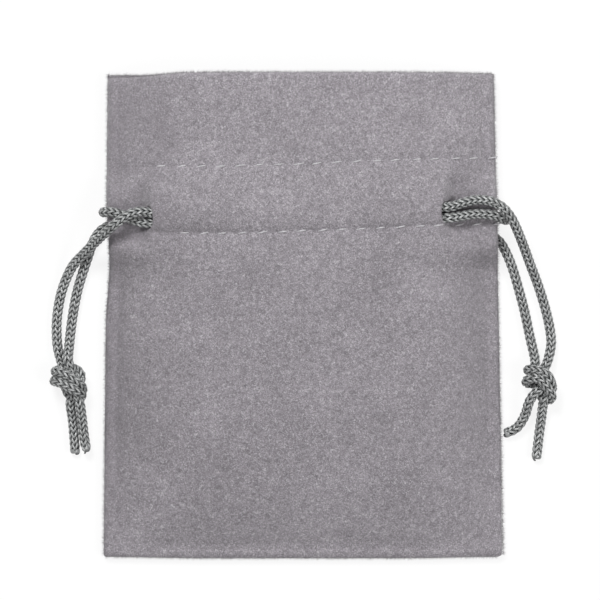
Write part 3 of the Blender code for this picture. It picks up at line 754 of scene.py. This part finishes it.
def thread_finish():
    """Light grey spun sewing thread."""
    made, tree, shader = new_material("spun_thread", 0.6)
    place = tree.nodes.new("ShaderNodeTexCoord").outputs["Object"]
    fibres = noise(tree, place, 5000.0, 2.0, 0.6)
    colour = ramp(tree, fibres, [(0.3, (0.33, 0.32, 0.34)), (0.7, (0.6, 0.59, 0.61))])
    tree.links.new(colour, shader.inputs["Base Color"])
    shader.inputs["Sheen Weight"].default_value = 0.2
    return made


VELVET = velvet_finish()
YARN = yarn_finish()
THREAD = thread_finish()


# ---------------------------------------------------------------- camera
VIEW_WIDTH = 0.12295  # what the camera takes in, level with the place that it looks at
CAMERA_HEIGHT = 0.9
LOOKED_AT = (-0.00066, 0.0032, 0.006)
SENSOR_WIDTH = 36.0
camera_data = bpy.data.cameras.new("camera")
camera = bpy.data.objects.new("camera", camera_data)
bpy.context.collection.objects.link(camera)
camera.location = (LOOKED_AT[0], LOOKED_AT[1], CAMERA_HEIGHT + LOOKED_AT[2])
camera_data.sensor_width = SENSOR_WIDTH
camera_data.lens = SENSOR_WIDTH * CAMERA_HEIGHT / VIEW_WIDTH
camera_data.clip_start = 0.01
bpy.context.scene.camera = camera


# ---------------------------------------------------------------- drawcord pieces
left_front_end = LEFT_FRONT_LEG + knot_route(LEFT_KNOT, LEFT_KNOT_FRONT) + LEFT_FRONT_TAIL
left_back_end = LEFT_BACK_LEG + knot_route(LEFT_KNOT, LEFT_KNOT_BACK) + LEFT_BACK_TAIL
right_front_end = RIGHT_FRONT_LEG + knot_route(RIGHT_KNOT, RIGHT_KNOT_FRONT) + RIGHT_FRONT_TAIL
right_back_end = RIGHT_BACK_LEG + knot_route(RIGHT_KNOT, RIGHT_KNOT_BACK) + RIGHT_BACK_TAIL
drawcords = {
    "left": drawcord_line(
        left_front_end, channel_route(True, LEFT_FRONT_RUN, 1), LEFT_WRAP,
        channel_route(False, LEFT_BACK_RUN, -1), left_back_end,
    ),
    "right": drawcord_line(
        right_front_end, channel_route(True, RIGHT_FRONT_RUN, -1), RIGHT_WRAP,
        channel_route(False, RIGHT_BACK_RUN, 1), right_back_end,
    ),
}
for side, (line, along, goes_in, comes_out) in drawcords.items():
    total = along[-1]
    spare = LOOP_HALF_HEIGHT + 0.1
    front = knitted_cord(side + "_front_end", line, along, spare, goes_in, YARN, tip=-1)
    loop = knitted_cord(side + "_loop", line, along, goes_in, comes_out, YARN)
    back = knitted_cord(side + "_back_end", line, along, comes_out, total - spare, YARN, tip=1)
    body = side + "_drawcord"
    front_path = line[along <= goes_in][::-1] * MM
    back_path = line[along >= comes_out] * MM
    for piece, path, nodes in (
        (front, front_path, ("front_leg", "knot", "front_tail")),
        (back, back_path, ("back_leg", "back_tail")),
    ):
        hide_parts(*[body + "_" + part for part in nodes])
    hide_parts(body + "_loop")
    for piece in (front, loop, back):
        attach(piece, body)


# ---------------------------------------------------------------- cloth pieces
def rolled(inset):
    """How far the two panels are apart near an edge, from almost 0 on it to 1 further in: a
    quarter of an ellipse, so that the cloth rolls into the seam."""
    quarter = np.sqrt(np.clip(1 - (1 - np.clip(inset / ROLL_WIDTH, 0, 1)) ** 2, 0.0, 1))
    return quarter * (1 - ROLL_LEFT_OPEN) + ROLL_LEFT_OPEN


def closing(x, y):
    """The roll along the side edges."""
    return rolled(half_width(y, side_index(x)) - np.abs(x))


def mouth_drop(front, x):
    """How far the edge of the mouth lies below MOUTH_Y: more at the left corner, most in front."""
    return MOUTH_DROP + (0.75 if front else 0.15) * ease((-x - 22) / 13)


def rounded_slit(x, y, side):
    """Draws the corners of a hole in: points near it move from a rectangle's outline to that of a
    rounded one, with less and less effect outwards."""
    middle_x = (2 * side - 1) * (HOLE_X[side] - HOLE_HALF_WIDTH + SLIT_WIDTH / 2)
    middle_y = hole_middle(side)
    half_length = (SLIT_HIGH[side] - SLIT_LOW[side]) / 2
    across = (x - middle_x) / (SLIT_WIDTH / 2)
    up = (y - middle_y) / half_length
    square = np.maximum(np.abs(across), np.abs(up))
    rounded = np.hypot(across, up)
    share = np.where(rounded > 1e-6, square / np.maximum(rounded, 1e-6), 1.0)
    effect = ease((2.2 - square) / 1.2)
    share = 1 + (share - 1) * effect
    return middle_x + across * share * SLIT_WIDTH / 2, middle_y + up * share * half_length


def rows_of_points(x, v):
    """Y of the points of a panel: straight rows at x = 0 that follow the two stitched rows."""
    low, high = CHANNEL_LOW, CHANNEL_HIGH
    near_low = np.where(v < low, ease((v - low + 16) / 15.2), ease((high - v) / (high - low)))
    near_high = np.where(v < high, ease((v - low) / (high - low)), ease((MOUTH_Y - v) / 16))
    low_sway, high_sway = lower_row(x) - lower_row(0.0), upper_row(x) - upper_row(0.0)
    return v + near_low * low_sway + near_high * high_sway


def steps(*stops):
    """Places from stop to stop: each stop is a place and the number of steps on from it."""
    parts = [np.linspace(a[0], b[0], a[1] + 1)[:-1] for a, b in zip(stops, stops[1:])]
    return np.concatenate(parts + [[stops[-1][0]]])


def panel_half(name, front, side, finish):
    """One half of a panel, from the middle to a side edge: a closed ring of points round both
    faces of the cloth and its folded hem in each column, joined to the next column."""
    sign = 2 * side - 1
    slit_in = HOLE_X[side] - HOLE_HALF_WIDTH
    slit_out = slit_in + SLIT_WIDTH
    reach = float(half_width(hole_middle(side), side))
    shares = np.concatenate([
        steps((0, 84), (slit_in, 6), (slit_out, 16), (reach - EDGE_ZONE, 0))[:-1] / reach,
        1 - EDGE_ZONE / reach * (1 - np.sin(np.linspace(0, np.pi / 2, 10))),
    ])
    fine = np.linspace(0, 40, 4000)
    at_hole = rows_of_points(sign * slit_in, fine)
    v_low, v_high = np.interp((SLIT_LOW[side], SLIT_HIGH[side]), at_hole, fine)
    low, high = CHANNEL_LOW, CHANNEL_HIGH
    hem_end = low - HEM_BELOW_ROW
    fold_y = MOUTH_Y - FOLD_RADIUS
    body_v = np.concatenate([
        FOOT_Y + EDGE_ZONE * (1 - np.sin(np.linspace(np.pi / 2, 0, 7))),
        steps((FOOT_Y + 2.3, 44), (hem_end - 0.6, 0)),
    ])
    # the hole starts close above the lower row, where one step fills a narrow strip
    strip_steps = 1 if v_low < low + 0.3 else 3
    hem_v = steps(
        (hem_end, 5), (low - 1.6, 7), (min(low, v_low - 0.1), strip_steps), (v_low, 14),
        (v_high, 12), (high - 1.6, 14), (high + 1.6, 20), (fold_y, 0),
    )
    v = np.concatenate([body_v, hem_v])
    n, n_body, n_hem = len(v), len(body_v), len(hem_v)
    k_low = n_body + int(np.argmin(np.abs(hem_v - v_low)))
    k_high = n_body + int(np.argmin(np.abs(hem_v - v_high)))
    flat_x = sign * shares[:, None] * reach
    y = rows_of_points(flat_x, v[None, :])
    x = sign * shares[:, None] * half_width(y, side)
    x, y = rounded_slit(x, y, side)
    outer, inner, hem_out, hem_in = cloth_faces(front, x, y)
    edge_x = sign * half_width(y, side)
    mid = (edge_height(edge_x, y) + back_height(edge_x, y)) / 2
    close = closing(x, y)
    soft = softness(front, x, y)
    heights = (outer, inner, hem_out, hem_in)
    outer, inner, hem_out, hem_in = (mid + (z + soft - mid) * close for z in heights)
    foot_close = rolled(y - FOOT_Y)
    foot_mid = CLOTH + SEAM_GAP / 2
    outer = foot_mid + (outer - foot_mid) * foot_close
    inner = foot_mid + (inner - foot_mid) * foot_close
    y = y - mouth_drop(front, x) * ease((y - 34) / 15)
    y = y + CORNER_LIFT * ease((FOOT_Y + 20 - y) / 20) * ease((np.abs(x) - 20) / 20)
    x = x + lean(y)
    past_x = np.maximum(np.abs(x - lean(y)) - CORNER_X, 0)
    past_y = np.maximum(FOOT_Y + CORNER_RADIUS - y, 0)
    corner = np.clip(np.hypot(past_x, past_y) / CORNER_RADIUS, 0, 2)
    x = x - sign * np.maximum(corner - 1, 0) * CORNER_PULL
    y = y + np.maximum(corner - 1, 0) * CORNER_PULL

    def face(z, cut=slice(None)):
        return np.stack([x[:, cut], y[:, cut], z[:, cut]], -1)

    hem = slice(n_body, None)
    angle = np.pi * np.arange(1, 8) / 8
    middle = (outer[:, -1:] + hem_in[:, -1:]) / 2
    rise = (outer[:, -1:] - hem_in[:, -1:]) / 2
    fold = np.stack(np.broadcast_arrays(
        x[:, -1:], y[:, -1:] + FOLD_RADIUS * np.sin(angle), middle + rise * np.cos(angle)), -1)
    slot_point = np.stack([x[:, -1:], y[:, -1:] + CLEARANCE / 2, middle], -1)
    ring = np.concatenate([
        face(outer), fold, face(hem_in, hem)[:, ::-1], face(hem_out, hem), slot_point,
        face(inner)[:, ::-1],
    ], axis=1)
    ring[..., 2] = np.maximum(ring[..., 2], ON_TABLE)
    count = ring.shape[1]
    columns = len(shares)
    quads = grid_quads(columns, count, closed_columns=True).reshape(columns - 1, count, 4)
    keep = np.ones((columns - 1, count), dtype=bool)
    hole_from = int(np.argmin(np.abs(shares - slit_in / reach)))
    hole_to = int(np.argmin(np.abs(shares - slit_out / reach)))
    keep[hole_from:hole_to, k_low:k_high] = False
    keep[hole_from:hole_to, count - 1 - k_high:count - 1 - k_low] = False

    def at(i, k):
        return i * count + k

    walls = []
    i = np.arange(hole_from, hole_to)
    for k, turned in ((k_low, False), (k_high, True)):
        across = count - 1 - k
        wall = np.stack([at(i, k), at(i, across), at(i + 1, across), at(i + 1, k)], -1)
        walls.append(wall[:, ::-1] if turned else wall)
    k = np.arange(k_low, k_high)
    for i, turned in ((hole_from, True), (hole_to, False)):
        wall = np.stack([at(i, k), at(i, count - 1 - k), at(i, count - 2 - k), at(i, k + 1)], -1)
        walls.append(wall[:, ::-1] if turned else wall)
    k = np.arange(n - 1)
    j = np.arange(n_hem - 1)
    in_index = n + len(angle) + (n_hem - 1 - j)
    out_index = n + len(angle) + n_hem + j
    caps = []
    for i in (columns - 1, 0):
        cap = np.vstack([
            np.stack([at(i, k), at(i, k + 1), at(i, count - 2 - k), at(i, count - 1 - k)], -1),
            np.stack([
                at(i, in_index), at(i, out_index), at(i, out_index + 1), at(i, in_index - 1),
            ], -1),
        ])
        caps.append(cap if i else cap[:, ::-1])
    faces = np.vstack([quads[keep], *walls, *caps])
    outward = (side == 1) == front
    made = new_mesh(name, ring, faces if outward else faces[:, ::-1], finish)
    edge_ends = np.zeros(2 * len(made.data.edges), dtype=np.int32)
    made.data.edges.foreach_get("vertices", edge_ends)
    sharp = (edge_ends.reshape(-1, 2) < count).all(axis=1)
    made.data.attributes.new("sharp_edge", "BOOLEAN", "EDGE").data.foreach_set("value", sharp)
    return made


def gather_weight(x, y):
    """How far a point of the cloth goes with the drawcord that draws it in: 0 at the middle and
    at the foot, 1 at the holes and beyond, from the channel up."""
    across = np.clip(np.abs(x) / HOLE_X[side_index(x)], 0, 1)
    return across * ease((y + 25.0) / 38.0)


def gather(piece, side):
    """The cloth on one side bends between the pouch and the drawcord that wraps round there."""
    body = ("right_drawcord", "left_drawcord")[side]
    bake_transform(piece, "pouch", body, start=(0, -0.02, 0), end=((2 * side - 1) * 0.03, 0.02, 0))
    data = piece.data
    places = np.zeros(len(data.vertices) * 3)
    data.vertices.foreach_get("co", places)
    places = places.reshape(-1, 3) / MM
    weights = gather_weight(places[:, 0], places[:, 1])
    data.attributes["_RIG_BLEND"].data.foreach_set("value", weights.astype(np.float32))


def two_ply(name, lines, radius, finish):
    """Short lengths of two-ply thread, one along each line of points: a tube whose radius is
    r (1 + d cos 2(a - w s)), with d the depth between the plies, a the angle round it, s the
    length and w the twist."""
    lines = np.asarray(lines)
    count, steps_along = lines.shape[:2]
    run = unit(np.gradient(lines, axis=1))
    across = unit(np.cross(run, np.array([0.0, 0.0, 1.0]) + np.zeros_like(run)))
    up = np.cross(across, run)
    step = np.linalg.norm(np.diff(lines, axis=1), axis=2)
    s = np.concatenate([np.zeros((count, 1)), np.cumsum(step, axis=1)], 1)
    turn = 2 * np.pi * np.arange(THREAD_SIDES) / THREAD_SIDES
    ply = radius * (1 + PLY_DEPTH * np.cos(2 * (turn[None, None, :] - PLY_TWIST * s[:, :, None])))
    taper = np.sqrt(np.clip(1 - np.abs(np.linspace(-1, 1, steps_along)) ** 6, 0.02, 1))
    ply = ply * taper[None, :, None]
    outward = (
        across[:, :, None] * np.cos(turn)[None, None, :, None]
        + up[:, :, None] * np.sin(turn)[None, None, :, None]
    )
    points = lines[:, :, None] + outward * ply[..., None]
    points[..., 2] = np.maximum(points[..., 2], ON_TABLE)
    one = grid_quads(steps_along, THREAD_SIDES, closed_columns=True)
    first = np.arange(count)[:, None, None] * steps_along * THREAD_SIDES
    quads = (first + one[None]).reshape(-1, 4)
    return new_mesh(name, points, quads, finish)


def per_stitch(random, spread, number):
    """One random value for each numbered stitch of a row, the same whichever half asks for it."""
    return random.normal(0, spread, 60)[number + 30]


def stitch_lines(front, side):
    """Middle lines of the thread seen on one half of a panel: a slanted dash on each stitch."""
    sign = 2 * side - 1
    lines = []
    s = np.linspace(-1, 1, 15)
    for row, start, seen_from in ((lower_row, LOWER_START, -25.0), (upper_row, UPPER_START, -30.0)):
        ends = (seen_from, 40.5) if front else (-38.5, 38.5)
        first, last = (int(np.ceil((end - start) / STITCH_PITCH)) for end in ends)
        number = np.arange(first, last)
        random = np.random.default_rng(5 + 3 * front + int(row(0.0)))
        shift = per_stitch(random, 0.16, number)
        length = STITCH_SEEN * (1 + per_stitch(random, 0.07, number))
        slant = 0.13 + per_stitch(random, 0.06, number)
        middle = start + STITCH_PITCH * number + shift
        keep = middle * sign > 0
        x = middle[keep][:, None] + s[None, :] * length[keep][:, None] / 2
        y = row(x) + s[None, :] * slant[keep][:, None]
        z = (front_height(x, y) if front else back_height(x, y)) + softness(front, x, y)
        sunk = 0.09 * ease((-12.0 - middle[keep]) / 16.0) + 0.04 * random.random(keep.sum())
        rise = (0.11 - sunk[:, None] - 0.36 * np.abs(s)[None, :] ** 5) * (1 if front else -1)
        lines.append(np.stack([x + lean(y), y, z + rise], -1))
    return np.concatenate(lines)


def seam_lines(side):
    """Middle lines of the seam's stitches, in the groove between the panels at a side edge."""
    start = np.arange(FOOT_Y + 1.5, MOUTH_Y - 2, SEAM_PITCH)[:, None]
    y = start + np.linspace(0, SEAM_STITCH, 9)[None, :]
    x = (2 * side - 1) * (half_width(y, side) - SEAM_INSET)
    z = (edge_height(x, y) + back_height(x, y)) / 2
    return np.stack([x + lean(y), y, z], -1)


def foot_seam_lines():
    """Middle lines of the foot seam's stitches: one straight row just inside the foot edge."""
    start = np.arange(-38.0, 37.5, SEAM_PITCH)[:, None]
    x = start + np.linspace(0, SEAM_STITCH, 9)[None, :]
    y, z = np.full_like(x, FOOT_Y + SEAM_INSET), np.full_like(x, CLOTH + SEAM_GAP / 2)
    return np.stack([x, y, z], -1)


def fringe(name, side, finish):
    """Pile that stands out past the cloth's outline: slim three-sided spikes along the side edge,
    the mouth and the foot."""
    sign = 2 * side - 1
    random = np.random.default_rng(41 + side)
    count = FRINGE_PER_SIDE
    y = random.uniform(FOOT_Y + 0.8, MOUTH_Y - 0.3, count)
    reach = half_width(y, side)
    x = sign * reach
    edge = edge_height(x, y)
    under = back_height(x, y)
    z = (edge + under) / 2 + random.uniform(-0.42, 0.42, count) * (edge - under)
    inset = 0.75 * np.abs(random.uniform(-1, 1, count)) ** 3 + 0.12
    bases = [np.stack([x - sign * inset + lean(y), y, z], -1)]
    ways = [np.stack([np.full_like(y, sign), np.zeros_like(y), random.normal(0, 0.35, count)], -1)]
    for at_mouth in (True, False):
        x = sign * random.uniform(0.0, 39.4 if at_mouth else 40.4, count // 2)
        base_y = np.full_like(x, MOUTH_Y - 0.1 if at_mouth else FOOT_Y + 0.3)
        on_front = random.random(len(x)) < 0.7
        drop = np.where(on_front, mouth_drop(True, x), mouth_drop(False, x))
        top = front_height(x, base_y - 1.0) - 1.0
        low = back_height(x, base_y - 1.0) + 1.0
        edge = edge_height(x, base_y)
        mid = (edge + back_height(x, base_y)) / 2
        close = closing(x, base_y)
        if at_mouth:
            z = mid + (np.where(on_front, top, low) - mid) * close
            y = base_y - drop
        else:
            z = np.full_like(x, CLOTH + SEAM_GAP / 2)
            y = base_y + CORNER_LIFT * ease((np.abs(x) - 20) / 20)
        bases.append(np.stack([x + lean(base_y), y, z + random.normal(0, 0.25, len(x))], -1))
        out = np.full_like(x, 1.0 if at_mouth else -1.0)
        ways.append(np.stack([np.zeros_like(x), out, random.normal(0, 0.35, len(x))], -1))
    base = np.concatenate(bases)
    way = unit(np.concatenate(ways) + random.normal(0, 0.45, base.shape))
    side_way = unit(np.cross(way, unit(random.normal(0, 1, base.shape))))
    other_way = np.cross(way, side_way)
    length = random.uniform(FRINGE_SHORTEST, FRINGE_LONGEST, len(base))[:, None]
    thick = FRINGE_THICKNESS
    points = np.stack([
        base + side_way * thick, base - side_way * thick / 2 + other_way * thick * 0.87,
        base - side_way * thick / 2 - other_way * thick * 0.87, base + way * length,
    ], 1)
    points[..., 2] = np.maximum(points[..., 2], ON_TABLE)
    spike = np.array([(0, 2, 1), (0, 1, 3), (1, 2, 3), (2, 0, 3)])
    faces = (np.arange(len(base))[:, None, None] * 4 + spike[None]).reshape(-1, 3)
    return new_mesh(name, points, faces, finish)


for side, word in enumerate(("left", "right")):
    piece = fringe("pile_fringe_" + word, side, VELVET)
    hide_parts("front_panel")
    gather(piece, side)
    for front, face in ((True, "front"), (False, "back")):
        piece = panel_half(f"{face}_cloth_{word}", front, side, VELVET)
        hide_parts(face + "_panel")
        gather(piece, side)
        rows = stitch_lines(front, side)
        piece = two_ply(f"{face}_stitches_{word}", rows, STITCH_RADIUS, THREAD)
        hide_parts(face + "_upper_stitches", face + "_lower_stitches")
        gather(piece, side)
    piece = two_ply(word + "_seam_stitches", seam_lines(side), SEAM_RADIUS, THREAD)
    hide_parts(word + "_side_seam_thread")
    gather(piece, side)
piece = two_ply("foot_seam_stitches", foot_seam_lines(), SEAM_RADIUS, THREAD)
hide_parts("foot_seam_thread")
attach(piece, "pouch")


# ---------------------------------------------------------------- light and floor
SKY_LEVEL = 0.29
FLOOR_GLOW = 0.85
FLOOR_HALF = 4000
FLOOR_CORNERS = [
    (-FLOOR_HALF, -FLOOR_HALF, 0), (FLOOR_HALF, -FLOOR_HALF, 0),
    (FLOOR_HALF, FLOOR_HALF, 0), (-FLOOR_HALF, FLOOR_HALF, 0),
]


def straight_rays(tree):
    """1 for what the camera sees directly or through something shiny or clear, and 0 for light."""
    light_path = tree.nodes.new("ShaderNodeLightPath")
    camera_ray, glossy_ray, clear_ray = (
        light_path.outputs[f"Is {kind} Ray"] for kind in ("Camera", "Glossy", "Transmission")
    )
    return maths(tree, "MAXIMUM", maths(tree, "MAXIMUM", camera_ray, glossy_ray), clear_ray)


def floor_finish():
    """Matt white that takes the object's shadow, with a glow that only straight rays see."""
    made = bpy.data.materials.new("floor_white")
    made.use_nodes = True
    tree = made.node_tree
    tree.nodes.clear()
    out = tree.nodes.new("ShaderNodeOutputMaterial")
    matt = node(tree, "ShaderNodeBsdfDiffuse", Color=(0.97, 0.97, 0.97, 1.0))
    glow = node(tree, "ShaderNodeEmission", Color=(1.0, 1.0, 1.0, 1.0), Strength=1.0)
    seen = maths(tree, "MULTIPLY", straight_rays(tree), FLOOR_GLOW)
    mix = tree.nodes.new("ShaderNodeMixShader")
    tree.links.new(seen, mix.inputs[0])
    tree.links.new(matt.outputs[0], mix.inputs[1])
    tree.links.new(glow.outputs[0], mix.inputs[2])
    tree.links.new(mix.outputs[0], out.inputs["Surface"])
    return made


floor = new_mesh("floor", FLOOR_CORNERS, [(0, 1, 2, 3)], floor_finish())


def area_light(name, place, size, power):
    """A square lamp at a place, turned towards the middle of the scene."""
    data = bpy.data.lights.new(name, "AREA")
    data.shape = "SQUARE"
    data.size = size
    data.energy = power
    made = bpy.data.objects.new(name, data)
    made.location = place
    made.rotation_euler = (-Vector(place)).to_track_quat("-Z", "Y").to_euler()
    bpy.context.collection.objects.link(made)


area_light("key", (-0.25, 0.55, 0.8), 0.3, 7.6)
area_light("fill", (0.6, -0.2, 0.7), 0.4, 3.6)
world = bpy.data.worlds.new("studio")
bpy.context.scene.world = world
world.use_nodes = True
sky = world.node_tree.nodes["Background"]
sky.inputs["Color"].default_value = (1, 1, 1, 1)
level = maths(world.node_tree, "MAXIMUM", straight_rays(world.node_tree), SKY_LEVEL)
world.node_tree.links.new(level, sky.inputs["Strength"])
bpy.context.scene.view_settings.view_transform = "Standard"
